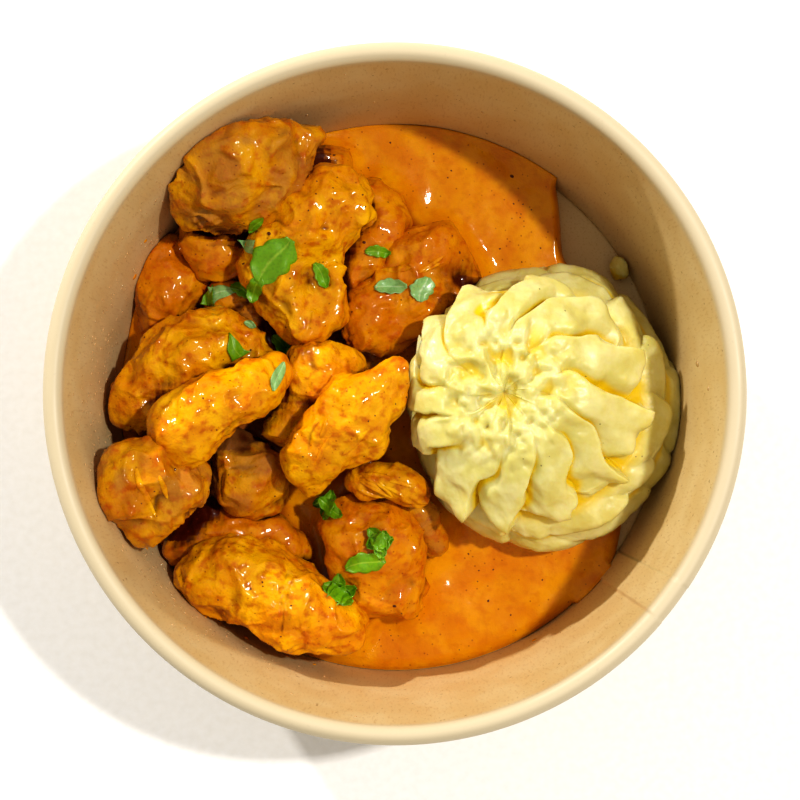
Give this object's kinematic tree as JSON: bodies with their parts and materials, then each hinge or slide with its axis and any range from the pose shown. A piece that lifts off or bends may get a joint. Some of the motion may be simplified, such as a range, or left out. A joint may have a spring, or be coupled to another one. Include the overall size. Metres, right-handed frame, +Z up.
{
  "type": "chicken curry bowl",
  "caption": "Round paper bowl of creamy orange chicken curry with sauced chunks of meat, a pool of sauce, chopped herbs and a piped rosette of mashed potato.",
  "frame": {"origin": "centre of the bowl's foot, on the surface it stands on", "axes": "+Z up out of the bowl; the mashed potato lies towards +X and the open sauce towards +Y"},
  "size_m": [0.1498, 0.15, 0.06],
  "materials": {
    "kraft_paper": "satin",
    "mashed_potato": "satin",
    "sauced_chicken": "gloss",
    "curry_sauce": "gloss",
    "herb_leaf": "satin"
  },
  "bodies": {
    "root": {"bowl_base": "kraft_paper", "bowl_side": "kraft_paper", "chicken_behind_top": "sauced_chicken", "chicken_between": "sauced_chicken", "chicken_bottom_long": "sauced_chicken", "chicken_dark_right": "sauced_chicken", "chicken_far_left": "sauced_chicken", "chicken_left": "sauced_chicken", "chicken_lower_middle": "sauced_chicken", "chicken_middle": "sauced_chicken", "chicken_ridge": "sauced_chicken", "chicken_right_flat": "sauced_chicken", "chicken_shaded": "sauced_chicken", "chicken_shred": "sauced_chicken", "chicken_strip": "sauced_chicken", "chicken_sunk": "sauced_chicken", "chicken_under_top": "sauced_chicken", "chicken_upper_middle": "sauced_chicken", "chicken_wall_left": "sauced_chicken", "chicken_wall_top": "sauced_chicken", "chicken_winged": "sauced_chicken", "mash": "mashed_potato", "mash_crumb": "mashed_potato", "sauce": "curry_sauce"}
  },
  "joints": []
}
